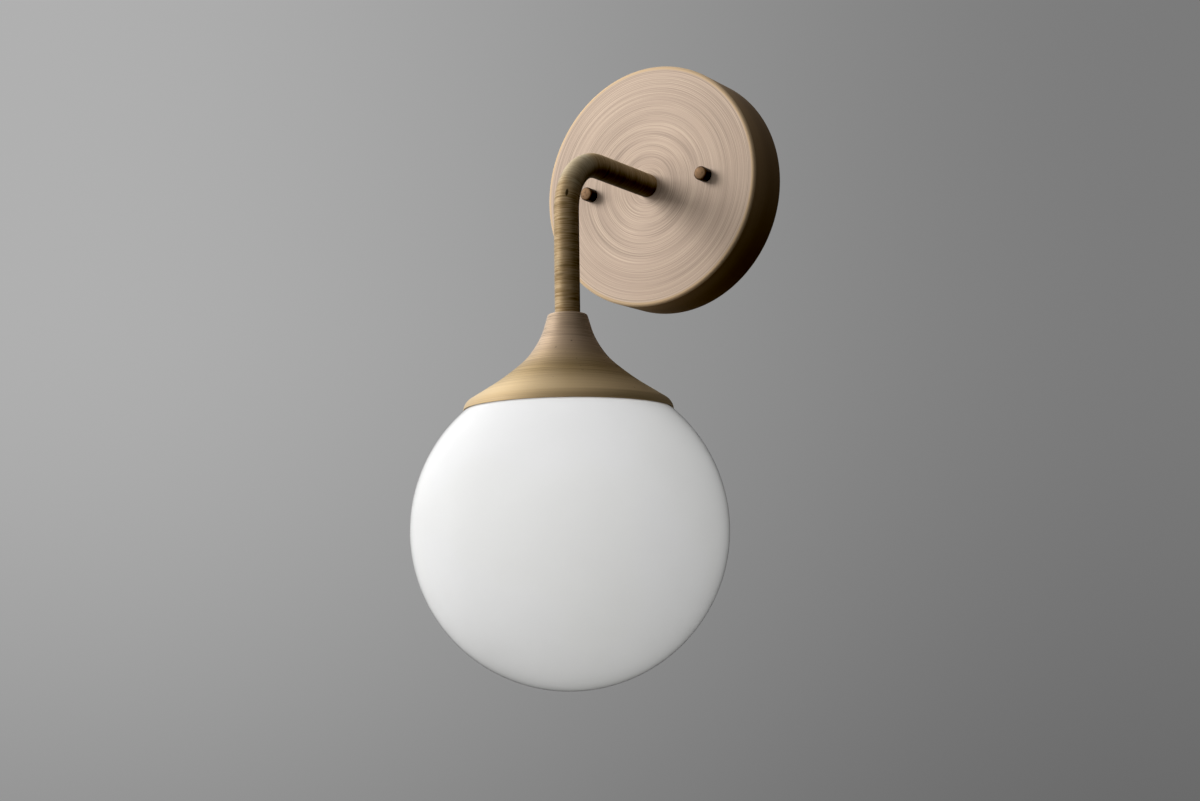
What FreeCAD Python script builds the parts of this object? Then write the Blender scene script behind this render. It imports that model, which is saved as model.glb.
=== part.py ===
import FreeCAD, Part
import os
from math import asin, cos, pi, radians, sin, sqrt, tan

# Globe wall sconce: a round brass wall plate, a bent brass arm, a flared
# holder and an opal glass globe held from inside by three sprung clip arms.
#
# Millimetres.  +Z is up, +X is right and -Y points into the room.  The origin
# is on the wall, at the centre of the wall plate's back.
#
# Two working frames are used.  Wall pieces are turned about the plate's axis,
# with heights measured out from the wall.  Drop pieces are turned about the
# vertical line below the arm's end, with heights measured up from the globe's
# centre.

Vector = FreeCAD.Vector

# Wall plate, a spun cup
plate_diameter = 127.0
plate_depth = 27.0
plate_wall = 1.2
plate_edge_radius = 1.6

# Arm, one bent tube
arm_reach = 101.0
arm_diameter = 12.2
arm_wall = 1.05
arm_bend_radius = 28.0

# Globe
globe_drop = 181.5
globe_diameter = 150.0
glass_wall = 2.6
globe_opening = 82.0

# Flared holder, heights above the globe's centre
neck_height = 102.8
neck_radius = 9.4
neck_edge_radius = 1.3
throat_radius = 14.3
throat_height = 86.2
throat_rounding = 35.0
flare_radius = 28.9
flare_height = 72.9
flare_rounding = 108.0
rim_diameter = 99.8
shoulder_height = 59.6
shoulder_rounding = 5.8
holder_wall = 1.0
glass_gap = 0.3

# Pipe thread that carries the wires through every joint
pipe_radius = 5.05
pipe_bore_radius = 3.5
pipe_grip = 10.0
pipe_nut_flats = 14.0
pipe_nut_height = 3.0
fit_gap = 0.05
lock_washer_radius = 8.6
lock_washer_thickness = 1.0
tooth_count = 12
tooth_depth = 1.8
tooth_gap = 1.2
bushing_flange_radius = 5.8
bushing_flange = 1.2
bushing_wall = 0.6
bushing_spigot = 5.0
nipple_inner_end = 14.0
socket_nipple_end = 67.5

# Twist-on wire connectors
connector_tip_radius = 3.0
connector_mouth_radius = 4.9
connector_bore_depth = 8.0
connector_rib_count = 8
connector_rib_width = 1.0

# Wall strap, its studs and the two cap nuts on the plate
strap_length = 106.0
strap_width = 14.0
strap_thickness = 2.0
box_screw_spacing = 88.9
slot_length = 10.0
slot_width = 4.6
stud_spacing = 70.0
stud_radius = 2.05
stud_hole_radius = 2.3
stud_nut_flats = 8.0
stud_nut_height = 3.0
cap_nut_radius = 3.6
cap_nut_height = 5.8
cap_nut_rounding = 0.8
cap_nut_end_wall = 1.2
stud_end_gap = 0.4
ground_screw_x = 17.0
ground_screw_radius = 2.3
ground_washer_radius = 4.6
ground_washer_thickness = 0.8
ground_head_flats = 7.0
ground_head_height = 2.6

# Slots in the screws, and how far every cut runs past the face it cuts
screw_slot_width = 1.0
screw_slot_depth = 0.9
past = 1.0

# Clip arms inside the holder
clip_count = 3
clip_bearings = [-90.0, 30.0, 150.0]
hub_radius = 23.0
hub_plate_bottom = 73.6
hub_plate_thickness = 1.4
pivot_radius = 24.5
pivot_height = 68.0
clip_rest_angle = 35.4
clip_rod_radius = 1.2
clip_rod_end = 24.0
clip_eye_radius = 2.6
clip_half_width = 3.1
clip_eye_width = 1.4
clip_web_half = 0.6
clip_web_end = 6.6
tab_gap = 0.2
tab_thickness = 1.2
tab_inward = 4.6
tab_outward = 2.4
tab_below_pin = 3.2
pin_radius = 1.2
pin_head_radius = 2.0
pin_head_height = 0.7
pin_peen_radius = 1.6
pin_peen_height = 0.5
sleeve_radius = 2.2
sleeve_start = 14.5
sleeve_end = 25.8
spring_wire_radius = 0.3
spring_coil_radius = 1.95
spring_turns = 3
spring_pitch = 0.8

# Lampholder, a brass shell socket, heights above the globe's centre
cap_top = 67.0
cap_neck_radius = 8.2
cap_shoulder = 62.4
cap_thickness = 0.7
socket_cap_radius = 19.1
socket_cap_bottom = 52.5
socket_shell_radius = 18.2
socket_shell_top = 60.5
socket_shell_bottom = 20.0
block_radius = 16.7
block_bottom = 45.0
block_top = 60.0
shell_thickness = 0.5
liner_gap = 0.1
leaf_width = 5.0
leaf_thickness = 0.4
terminal_x = 11.0
terminal_shank_radius = 1.5
terminal_shank_length = 8.0
terminal_head_radius = 2.9
terminal_head_height = 1.8

# Screw of the lamp and of the socket's shell
screw_pitch = 3.63
screw_depth = 0.8
lamp_screw_turns = 5
shell_screw_turns = 4
lamp_screw_radius = 12.7
lamp_tip = 41.6
screw_top = 37.5
screw_gap = 0.4
foil = 0.4

# Lamp
lamp_neck_height = 17.0
lamp_collar_radius = 19.4
lamp_collar_height = 0.0
bulb_radius = 24.5
bulb_bottom = -40.0

# Wires, and where each one enters its connector
lead_radius = 1.0
lead_offset = 1.3
lead_gather_depth = 4.8
ground_wire_radius = 0.9
live_mouth = Vector(-13.0, -10.0, -31.0)
neutral_mouth = Vector(13.0, -10.0, -31.0)
ground_mouth = Vector(2.0, -12.0, 32.0)

node_names = []


def save(name, shape):
    """Write one piece to its own file."""
    if not shape.isValid():
        raise ValueError(name + " is not a valid solid")
    shape.exportStep("parts/" + name + ".step")
    node_names.append(name)
    print("%-24s solids %d  volume %.1f" % (name, len(shape.Solids), shape.Volume))


def rounded_corner(before, corner, after, radius):
    """Start, middle and end of the arc that rounds a corner."""
    back = (before - corner).normalize()
    ahead = (after - corner).normalize()
    half = back.getAngle(ahead) / 2
    middle_line = (back + ahead).normalize()
    trim = radius / tan(half)
    centre = corner + middle_line * (radius / sin(half))
    return corner + back * trim, centre - middle_line * radius, corner + ahead * trim


def rounded_wire(points, radii, closed=False):
    """Straight runs joined by tangent arcs, through points with one radius each."""
    count = len(points)
    edges = []
    arcs = []
    for i in range(count):
        open_end = not closed and i in (0, count - 1)
        if open_end or radii[i] <= 0:
            arcs.append((points[i], None, points[i]))
        else:
            arcs.append(rounded_corner(points[i - 1], points[i], points[(i + 1) % count], radii[i]))
    for i in range(count):
        start, middle, end = arcs[i]
        if middle is not None:
            edges.append(Part.Arc(start, middle, end).toShape())
        if i == count - 1 and not closed:
            continue
        next_start = arcs[(i + 1) % count][0]
        if end.distanceToPoint(next_start) > 1e-6:
            edges.append(Part.LineSegment(end, next_start).toShape())
    return Part.Wire(edges)


def turned(outline):
    """Solid of revolution about Z from (radius, height, rounding) corners."""
    points = [Vector(corner[0], 0, corner[1]) for corner in outline]
    radii = [corner[2] if len(corner) > 2 else 0 for corner in outline]
    face = Part.Face(rounded_wire(points, radii, closed=True))
    return face.revolve(Vector(0, 0, 0), Vector(0, 0, 1), 360)


def skin_outline(path, wall):
    """Closed outline of a sheet of even thickness whose outside follows path.

    The sheet lies to the right of the path, seen along it.
    """
    corners = [Vector(p[0], p[1], 0) for p in path]
    radii = [p[2] if len(p) > 2 else 0 for p in path]
    runs = []
    for i in range(len(corners) - 1):
        runs.append((corners[i + 1] - corners[i]).normalize())
    inner = []
    for i in range(len(corners)):
        before = runs[max(i - 1, 0)]
        after = runs[min(i, len(runs) - 1)]
        normal_before = Vector(before.y, -before.x, 0)
        normal_after = Vector(after.y, -after.x, 0)
        shift = (normal_before + normal_after) * (wall / (1 + normal_before.dot(normal_after)))
        place = corners[i] + shift
        turn_right = before.x * after.y - before.y * after.x < 0
        inner_rounding = 0
        if radii[i] > 0:
            inner_rounding = max(radii[i] - wall, 0) if turn_right else radii[i] + wall
        inner.append((place.x, place.y, inner_rounding))
    return list(path) + inner[::-1]


def turned_skin(path, wall):
    return turned(skin_outline(path, wall))


def ring(inner_radius, outer_radius, bottom, top, rounding=0):
    return turned([
        (inner_radius, bottom),
        (outer_radius, bottom, rounding),
        (outer_radius, top, rounding),
        (inner_radius, top),
    ])


def rod(radius, bottom, top):
    return Part.makeCylinder(radius, top - bottom, Vector(0, 0, bottom))


def hex_nut(flats, bottom, height, bore_radius):
    """Hexagon nut with its corners chamfered top and bottom."""
    corner_radius = flats / 2 / cos(pi / 6)
    corners = []
    for i in range(7):
        angle = i * pi / 3
        corners.append(Vector(corner_radius * cos(angle), corner_radius * sin(angle), bottom))
    prism = Part.Face(Part.makePolygon(corners)).extrude(Vector(0, 0, height))
    chamfer = corner_radius - flats / 2
    envelope = ring(bore_radius, corner_radius, bottom, bottom + height)
    barrel = turned([
        (bore_radius, bottom),
        (flats / 2, bottom),
        (corner_radius, bottom + chamfer * 0.6),
        (corner_radius, bottom + height - chamfer * 0.6),
        (flats / 2, bottom + height),
        (bore_radius, bottom + height),
    ])
    return prism.common(envelope).common(barrel)


def swept(points, radii, radius, bore_radius=0.0):
    """Round wire or tube along straight runs joined by tangent arcs."""
    path = rounded_wire(points, radii)
    start = points[0]
    heading = points[1] - points[0]
    outer = path.makePipeShell([Part.Wire(Part.makeCircle(radius, start, heading))], True, False)
    if bore_radius > 0:
        inner = path.makePipeShell([Part.Wire(Part.makeCircle(bore_radius, start, heading))], True, False)
        outer = outer.cut(inner)
    area = pi * (radius ** 2 - bore_radius ** 2)
    filled = outer.Volume / area / path.Length
    print("  route length %.1f, volume over section %.4f" % (path.Length, filled))
    return outer


def pipe_nut(bottom):
    return hex_nut(pipe_nut_flats, bottom, pipe_nut_height, pipe_radius + fit_gap)


def on_wall(shape):
    """Turn a piece built along Z so that its heights run out from the wall."""
    placed = shape.copy()
    placed.rotate(Vector(0, 0, 0), Vector(1, 0, 0), 90)
    return placed


def on_drop(shape):
    """Move a piece built on the globe's centre to its place below the arm."""
    placed = shape.copy()
    placed.translate(Vector(0, -arm_reach, -globe_drop))
    return placed


def at_clip(shape, bearing):
    """Place a piece built in a clip's own plane.

    There the pivot is the origin, +X is outward, +Y is tangential and +Z is up.
    """
    placed = shape.copy()
    placed.translate(Vector(pivot_radius, 0, pivot_height))
    placed.rotate(Vector(0, 0, 0), Vector(0, 0, 1), bearing)
    return on_drop(placed)


def along_clip(shape):
    """Tip a piece built straight outward down to the clip arm's rest angle."""
    placed = shape.copy()
    placed.rotate(Vector(0, 0, 0), Vector(0, 1, 0), clip_rest_angle)
    return placed


def across(radius, start, end):
    """Round bar along Y through the clip's pivot."""
    return Part.makeCylinder(radius, end - start, Vector(0, start, 0), Vector(0, 1, 0))


def box(low, high):
    return Part.makeBox(high[0] - low[0], high[1] - low[1], high[2] - low[2], Vector(*low))


def screw_slot(head_width, head_top):
    """Cutter for the driver slot across a screw head."""
    low = (-head_width, -screw_slot_width / 2, head_top - screw_slot_depth)
    high = (head_width, screw_slot_width / 2, head_top + past)
    return box(low, high)


# Wall plate and what fixes it

def make_canopy():
    radius = plate_diameter / 2
    cup = turned_skin([
        (pipe_radius + fit_gap * 2, plate_depth),
        (radius, plate_depth, plate_edge_radius),
        (radius, 0),
    ], plate_wall)
    for side in (-1, 1):
        hole = rod(stud_hole_radius, 0, plate_depth + past)
        hole.translate(Vector(side * stud_spacing / 2, 0, 0))
        cup = cup.cut(hole)
    return on_wall(cup)


def make_strap():
    end_round = strap_width / 2
    half_straight = strap_length / 2 - end_round
    strap = box((-half_straight, -end_round, 0), (half_straight, end_round, strap_thickness))
    for side in (-1, 1):
        end = rod(end_round, 0, strap_thickness)
        end.translate(Vector(side * half_straight, 0, 0))
        strap = strap.fuse(end)
    top = strap_thickness + past
    holes = [rod(pipe_radius + fit_gap, -past, top)]
    ground_hole = rod(ground_screw_radius + fit_gap, -past, top)
    ground_hole.translate(Vector(ground_screw_x, 0, 0))
    holes.append(ground_hole)
    half_slot = (slot_length - slot_width) / 2
    for side in (-1, 1):
        stud_hole = rod(stud_radius + fit_gap, -past, top)
        stud_hole.translate(Vector(side * stud_spacing / 2, 0, 0))
        holes.append(stud_hole)
        slot_x = side * box_screw_spacing / 2
        slot_low = (slot_x - half_slot, -slot_width / 2, -past)
        slot_high = (slot_x + half_slot, slot_width / 2, top)
        holes.append(box(slot_low, slot_high))
        for end in (-1, 1):
            slot_end = rod(slot_width / 2, -past, top)
            slot_end.translate(Vector(slot_x + end * half_slot, 0, 0))
            holes.append(slot_end)
    for hole in holes:
        strap = strap.cut(hole)
    return on_wall(strap.removeSplitter())


def make_stud():
    stud_end = plate_depth + cap_nut_height - cap_nut_end_wall - stud_end_gap
    end_round = stud_radius / 4
    return turned([(0, 0), (stud_radius, 0), (stud_radius, stud_end, end_round), (0, stud_end)])


def make_cap_nut():
    """Barrel nut with a blind thread, its front edge rounded."""
    top = plate_depth + cap_nut_height
    bore_end = top - cap_nut_end_wall
    return turned([
        (stud_radius + fit_gap, plate_depth + fit_gap),
        (cap_nut_radius, plate_depth + fit_gap),
        (cap_nut_radius, top, cap_nut_rounding),
        (0, top),
        (0, bore_end),
        (stud_radius + fit_gap, bore_end),
    ])


def make_ground_screw():
    """Slotted screw with a flanged hexagon head, in the strap."""
    washer_top = strap_thickness + ground_washer_thickness
    head_top = washer_top + ground_head_height
    washer = rod(ground_washer_radius, strap_thickness, washer_top)
    head = hex_nut(ground_head_flats, washer_top, ground_head_height, 0.0)
    shank = rod(ground_screw_radius, 0.0, strap_thickness)
    screw = washer.fuse(head).fuse(shank)
    screw = screw.cut(screw_slot(ground_head_flats, head_top)).removeSplitter()
    screw.translate(Vector(ground_screw_x, 0, 0))
    return on_wall(screw)


plate_inside = plate_depth - plate_wall
canopy_nut_top = plate_inside - lock_washer_thickness
canopy_nut_bottom = canopy_nut_top - pipe_nut_height


def make_lock_washer():
    """Toothed washer: a ring with notches cut round its outside."""
    washer = ring(pipe_radius + fit_gap, lock_washer_radius, canopy_nut_top, plate_inside)
    notch_low = (lock_washer_radius - tooth_depth, -tooth_gap / 2, 0)
    notch_high = (lock_washer_radius + past, tooth_gap / 2, plate_depth)
    for i in range(tooth_count):
        notch = box(notch_low, notch_high)
        notch.rotate(Vector(0, 0, 0), Vector(0, 0, 1), i * 360 / tooth_count)
        washer = washer.cut(notch)
    return on_wall(washer)


def make_wire_bushing():
    """Flanged plastic liner that keeps the wires off the nipple's edge."""
    flange_bottom = nipple_inner_end - bushing_flange
    spigot_end = nipple_inner_end + bushing_spigot
    spigot_radius = pipe_bore_radius - fit_gap
    bore = spigot_radius - bushing_wall
    return on_wall(turned([
        (bore, flange_bottom),
        (bushing_flange_radius, flange_bottom, bushing_flange / 3),
        (bushing_flange_radius, nipple_inner_end),
        (spigot_radius, nipple_inner_end),
        (spigot_radius, spigot_end),
        (bore, spigot_end),
    ]))


def make_wire_connector(tip, mouth):
    """Twist-on cap: a hollow cone with ribs, open at the mouth."""
    length = (mouth - tip).Length
    cone = turned([
        (0, 0),
        (connector_tip_radius, 0, connector_tip_radius * 0.4),
        (connector_mouth_radius, length, 0.3),
        (0, length),
    ])
    rib_low = (connector_tip_radius, -connector_rib_width / 2, length * 0.12)
    rib_high = (connector_mouth_radius - 0.15, connector_rib_width / 2, length * 0.92)
    for i in range(connector_rib_count):
        rib = box(rib_low, rib_high)
        rib.rotate(Vector(0, 0, 0), Vector(0, 0, 1), i * 360 / connector_rib_count)
        cone = cone.fuse(rib)
    bore_start = length - connector_bore_depth
    bore = turned([
        (0, bore_start),
        (lead_radius * 2.2, bore_start),
        (connector_mouth_radius * 0.7, length + past),
        (0, length + past),
    ])
    cone = cone.cut(bore)
    turn = FreeCAD.Rotation(Vector(0, 0, 1), mouth - tip)
    cone.Placement = FreeCAD.Placement(tip, turn)
    return cone


# Arm and the nipples at its ends

def arm_route(side_shift=0.0):
    return [
        Vector(side_shift, -plate_depth, 0),
        Vector(side_shift, -arm_reach, 0),
        Vector(side_shift, -arm_reach, neck_height - globe_drop),
    ]


def make_arm():
    outside = arm_diameter / 2
    return swept(arm_route(), [0, arm_bend_radius, 0], outside, outside - arm_wall)


def make_canopy_nipple():
    return on_wall(ring(pipe_bore_radius, pipe_radius, nipple_inner_end, plate_depth + pipe_grip))


def make_holder_nipple():
    return on_drop(ring(pipe_bore_radius, pipe_radius, socket_nipple_end, neck_height + pipe_grip))


# Holder and clips

def make_holder():
    """Spun trumpet whose rim is cut to sit on the glass."""
    rim_radius = rim_diameter / 2
    globe_radius = globe_diameter / 2
    skin = turned_skin([
        (pipe_radius + fit_gap * 2, neck_height),
        (neck_radius, neck_height, neck_edge_radius),
        (throat_radius, throat_height, throat_rounding),
        (flare_radius, flare_height, flare_rounding),
        (rim_radius, shoulder_height, shoulder_rounding),
        (rim_radius, shoulder_height - shoulder_rounding),
    ], holder_wall)
    glass_space = Part.makeSphere(globe_radius + glass_gap)
    skin = skin.cut(glass_space)
    return on_drop(skin)


def make_clip_hub():
    """Plate with three pairs of tabs bent down to hold the pivot pins."""
    top = hub_plate_bottom + hub_plate_thickness
    hub = ring(pipe_radius + fit_gap, hub_radius, hub_plate_bottom, top)
    inner_edge = pivot_radius - tab_inward
    outer_edge = pivot_radius + tab_outward
    low = pivot_height - tab_below_pin
    tab_outline = [
        Vector(inner_edge, 0, low),
        Vector(outer_edge, 0, low),
        Vector(outer_edge, 0, pivot_height + tab_below_pin),
        Vector(hub_radius - 0.4, 0, top),
        Vector(inner_edge, 0, top),
    ]
    tab_round = [tab_outward - 0.2, tab_outward - 0.2, 0.8, 0, 0]
    tab_face = Part.Face(rounded_wire(tab_outline, tab_round, closed=True))
    inside = clip_half_width + tab_gap
    pin_hole = across(pin_radius + fit_gap, -clip_half_width * 3, clip_half_width * 3)
    pin_hole.translate(Vector(pivot_radius, 0, pivot_height))
    for bearing in clip_bearings:
        for start in (inside, -inside - tab_thickness):
            tab = tab_face.extrude(Vector(0, tab_thickness, 0))
            tab.translate(Vector(0, start, 0))
            tab = tab.cut(pin_hole)
            tab.rotate(Vector(0, 0, 0), Vector(0, 0, 1), bearing)
            hub = hub.fuse(tab)
    return on_drop(hub.removeSplitter())


def make_clip_arm():
    """Two eyes on a web, then a round rod that reaches under the glass."""
    eye_inside = clip_half_width - clip_eye_width
    web_start = clip_eye_radius + 0.3
    web_low = (web_start, -clip_half_width, -clip_web_half)
    arm = box(web_low, (clip_web_end, clip_half_width, clip_web_half))
    for start in (eye_inside, -clip_half_width):
        end = start + clip_eye_width
        arm = arm.fuse(across(clip_eye_radius, start, end))
        arm = arm.fuse(box((0, start, -clip_web_half), (web_start + past, end, clip_web_half)))
    rod_start = Vector(clip_web_end - 1.4, 0, 0)
    reach = Part.makeCylinder(clip_rod_radius, clip_rod_end - rod_start.x, rod_start, Vector(1, 0, 0))
    arm = arm.fuse(reach).removeSplitter()
    arm = arm.cut(across(pin_radius + fit_gap, -clip_half_width * 2, clip_half_width * 2))
    return along_clip(arm)


def make_tip_sleeve():
    """Soft sleeve with a round end, pushed over the rod's tip."""
    sleeve = turned([
        (0, sleeve_start),
        (sleeve_radius, sleeve_start, sleeve_radius / 4),
        (sleeve_radius, sleeve_end, sleeve_radius - fit_gap),
        (0, sleeve_end),
    ])
    sleeve = sleeve.cut(rod(clip_rod_radius, sleeve_start - past, clip_rod_end))
    sleeve.rotate(Vector(0, 0, 0), Vector(0, 1, 0), 90)
    return along_clip(sleeve)


def make_clip_pin():
    """Headed pin across the two tabs, peened at its far end."""
    tab_outside = clip_half_width + tab_gap + tab_thickness
    head_end = tab_outside + pin_head_height
    peen_end = -tab_outside - pin_peen_height
    pin = across(pin_radius, peen_end, head_end)
    pin = pin.fuse(across(pin_head_radius, tab_outside, head_end))
    return pin.fuse(across(pin_peen_radius, peen_end, -tab_outside)).removeSplitter()


def make_clip_spring():
    """Torsion spring round the pin, one leg up to the hub and one under the web.

    Angles run from straight outward towards straight up.
    """
    start_angle = 180.0
    end_angle = 270.0 - clip_rest_angle + 360.0 * spring_turns
    half_length = spring_pitch * (end_angle - start_angle) / 720.0

    def on_coil(angle):
        along = spring_pitch * (angle - start_angle) / 360.0 - half_length
        turn = radians(angle)
        return Vector(spring_coil_radius * cos(turn), along, spring_coil_radius * sin(turn))

    arc_count = 4 * spring_turns
    step = (end_angle - start_angle) / arc_count
    leg_height = hub_plate_bottom - pivot_height - spring_wire_radius - fit_gap
    leg_end = Vector(-spring_coil_radius - spring_wire_radius, -half_length, leg_height)
    edges = [Part.LineSegment(leg_end, on_coil(start_angle)).toShape()]
    for i in range(arc_count):
        first = start_angle + i * step
        arc = Part.Arc(on_coil(first), on_coil(first + step / 2), on_coil(first + step))
        edges.append(arc.toShape())
    lean = radians(clip_rest_angle)
    outward = Vector(cos(lean), 0, -sin(lean))
    upward = Vector(sin(lean), 0, cos(lean))
    below_web = clip_web_half + spring_wire_radius + fit_gap
    under_web = outward * (clip_web_end - 0.4) - upward * below_web + Vector(0, half_length, 0)
    edges.append(Part.LineSegment(on_coil(end_angle), under_web).toShape())
    path = Part.Wire(edges)
    circle = Part.Wire(Part.makeCircle(spring_wire_radius, leg_end, on_coil(start_angle) - leg_end))
    spring = path.makePipeShell([circle], True, False)
    print("  spring wire %.1f long, least gap between turns %.2f"
          % (path.Length, spring_pitch - 2 * spring_wire_radius))
    return spring


# Globe

def make_globe():
    """Hollow glass ball with a round opening at the top and a full-round lip."""
    outside = globe_diameter / 2
    inside = outside - glass_wall
    middle = outside - glass_wall / 2
    lip = glass_wall / 2
    lip_angle = asin((globe_opening / 2 + lip) / middle)
    outward = Vector(sin(lip_angle), 0, cos(lip_angle))
    inward = Vector(-cos(lip_angle), 0, sin(lip_angle))
    bottom = Vector(0, 0, -1)
    side = Vector(1, 0, 0)
    edges = [
        Part.Arc(bottom * outside, side * outside, outward * outside).toShape(),
        Part.Arc(outward * outside, outward * middle + inward * lip, outward * inside).toShape(),
        Part.Arc(outward * inside, side * inside, bottom * inside).toShape(),
        Part.LineSegment(bottom * inside, bottom * outside).toShape(),
    ]
    outline = Part.Face(Part.Wire(edges))
    return on_drop(outline.revolve(Vector(0, 0, 0), Vector(0, 0, 1), 360))


# Lampholder

def screw_path(mean_radius, turns):
    """Rounded rings at the screw's pitch, running down from the screw's top."""
    path = []
    for i in range(2 * turns + 1):
        swing = screw_depth / 2 if i % 2 == 0 else -screw_depth / 2
        path.append((mean_radius + swing, screw_top - i * screw_pitch / 2, 1.1))
    return path


def make_socket_cap():
    """Domed cap with a thick threaded neck at its top."""
    neck_bottom = cap_top - cap_thickness - 0.4
    neck = ring(pipe_radius + fit_gap, cap_neck_radius, neck_bottom, hub_plate_bottom)
    dome = turned_skin([
        (cap_neck_radius - 1.2, cap_top),
        (cap_neck_radius + 1.0, cap_top, 1.2),
        (socket_cap_radius, cap_shoulder, 2.5),
        (socket_cap_radius, socket_cap_bottom),
    ], cap_thickness)
    return on_drop(neck.fuse(dome).removeSplitter())


def make_socket_shell():
    return on_drop(turned_skin([
        (socket_shell_radius, socket_shell_top),
        (socket_shell_radius, socket_shell_bottom, 2.4),
        (socket_shell_radius - 3.0, socket_shell_bottom),
    ], shell_thickness))


def make_socket_liner():
    outside = socket_shell_radius - shell_thickness - liner_gap
    inside = outside - shell_thickness
    return on_drop(ring(inside, outside, socket_shell_bottom + 3.0, socket_shell_top - 1.5))


def make_socket_block():
    """Moulded insulator with two terminal holes."""
    block = turned([
        (0, block_bottom),
        (block_radius, block_bottom, 1.0),
        (block_radius, block_top, 1.5),
        (0, block_top),
    ])
    for side in (-1, 1):
        hole_bottom = block_top - terminal_shank_length - 0.2
        hole = rod(terminal_shank_radius + fit_gap, hole_bottom, block_top + past)
        hole.translate(Vector(side * terminal_x, 0, 0))
        block = block.cut(hole)
    return on_drop(block)


def make_screw_shell():
    outer_radius = lamp_screw_radius + screw_gap + foil
    path = [(6.5, block_bottom), (outer_radius, block_bottom, 1.0)]
    path += screw_path(outer_radius, shell_screw_turns)
    path.append((outer_radius + 0.9, path[-1][1] - 1.2))
    return on_drop(turned_skin(path, foil))


def make_centre_contact():
    """Bent leaf under the block that presses on the lamp's tip."""
    path = [
        Vector(-5.2, -leaf_width / 2, block_bottom - leaf_thickness),
        Vector(-1.5, -leaf_width / 2, block_bottom - leaf_thickness),
        Vector(1.5, -leaf_width / 2, block_bottom - 2.6),
        Vector(4.8, -leaf_width / 2, block_bottom - 1.2),
    ]
    top = [point + Vector(0, 0, leaf_thickness) for point in reversed(path)]
    outline = rounded_wire(path + top, [0, 1.0, 1.2, 0, 0, 0.8, 1.4, 0], closed=True)
    return on_drop(Part.Face(outline).extrude(Vector(0, leaf_width, 0)))


def make_terminal_screw(side):
    head_top = block_top + terminal_head_height
    head = turned([
        (0, block_top),
        (terminal_head_radius, block_top),
        (terminal_head_radius, head_top, 0.6),
        (0, head_top),
    ])
    shank = rod(terminal_shank_radius, block_top - terminal_shank_length, block_top)
    screw = head.cut(screw_slot(terminal_head_radius, head_top)).fuse(shank).removeSplitter()
    screw.translate(Vector(side * terminal_x, 0, 0))
    return on_drop(screw)


# Lamp

def make_lamp_screw_cap():
    path = [(6.6, 39.8), (11.3, 38.9, 1.2)]
    path += screw_path(lamp_screw_radius, lamp_screw_turns)
    path.append((lamp_screw_radius + 0.2, lamp_neck_height))
    return on_drop(turned_skin(path, foil))


def make_lamp_insulator():
    return on_drop(turned([(0, 38.6), (6.4, 39.0), (6.4, 39.8), (3.2, 40.9, 0.4), (0, 40.9)]))


def make_lamp_contact():
    return on_drop(turned([(0, 40.9), (2.6, 40.9), (2.6, lamp_tip, 0.6), (0, lamp_tip)]))


def make_lamp_housing():
    """Tapered collar between the screw cap and the bulb."""
    return on_drop(turned([
        (0, lamp_neck_height),
        (13.6, lamp_neck_height, 1.0),
        (15.0, 11.0, 14.0),
        (lamp_collar_radius, lamp_collar_height, 0.8),
        (0, lamp_collar_height),
    ]))


def make_lamp_bulb():
    """Thin frosted bulb, open where the collar closes it."""
    return on_drop(turned_skin([
        (lamp_collar_radius - 0.6, lamp_collar_height),
        (bulb_radius, -9.0, 12.0),
        (bulb_radius, bulb_bottom, bulb_radius - 0.5),
        (0, bulb_bottom),
    ], 1.2))


# Wires

def make_lead(side, mouth):
    """Insulated wire from its connector, through the arm, to its terminal."""
    height = block_top + lead_radius + 0.1
    shift = side * lead_offset
    route = [
        mouth,
        Vector(side * 7.0, -9.5, mouth.z + 5.0),
        Vector(shift, -lead_gather_depth - 1.0, -12.0),
        Vector(shift, -lead_gather_depth, 0),
        Vector(shift, -arm_reach, 0),
        Vector(shift, -arm_reach, height - globe_drop),
        Vector(side * (terminal_x - terminal_head_radius - fit_gap), -arm_reach, height - globe_drop),
    ]
    radii = [0, 7.0, 12.0, 7.5, arm_bend_radius, 5.0, 0]
    return swept(route, radii, lead_radius)


def make_ground_lead(mouth):
    """Bare wire from under the ground screw's head to its connector."""
    screw_edge = ground_washer_radius + fit_gap
    depth = -(strap_thickness + 1.2)
    route = [
        Vector(ground_screw_x, depth, screw_edge),
        Vector(ground_screw_x, depth - 1.0, 16.0),
        Vector(12.0, -9.0, 27.0),
        mouth,
    ]
    return swept(route, [0, 9.0, 8.0, 0], ground_wire_radius)


# Build every piece

os.makedirs("parts", exist_ok=True)

save("canopy", make_canopy())
save("mounting_strap", make_strap())
save("ground_screw", make_ground_screw())
save("canopy_lock_washer", make_lock_washer())
save("canopy_nut", on_wall(pipe_nut(canopy_nut_bottom)))
save("canopy_nipple", make_canopy_nipple())
save("wire_bushing", make_wire_bushing())

for side, word in ((-1, "left"), (1, "right")):
    shift = Vector(side * stud_spacing / 2, 0, 0)
    stud_nut = hex_nut(stud_nut_flats, strap_thickness, stud_nut_height, stud_radius + fit_gap)
    for name, shape in (
        ("mounting_stud_", make_stud()),
        ("stud_nut_", stud_nut),
        ("cap_nut_", make_cap_nut()),
    ):
        shape = shape.copy()
        shape.translate(shift)
        save(name + word, on_wall(shape))

save("arm_tube", make_arm())
save("holder_nipple", make_holder_nipple())
save("holder", make_holder())
save("holder_nut", on_drop(pipe_nut(neck_height - holder_wall - pipe_nut_height)))
save("clip_hub", make_clip_hub())
save("hub_nut", on_drop(pipe_nut(hub_plate_bottom + hub_plate_thickness)))

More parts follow.
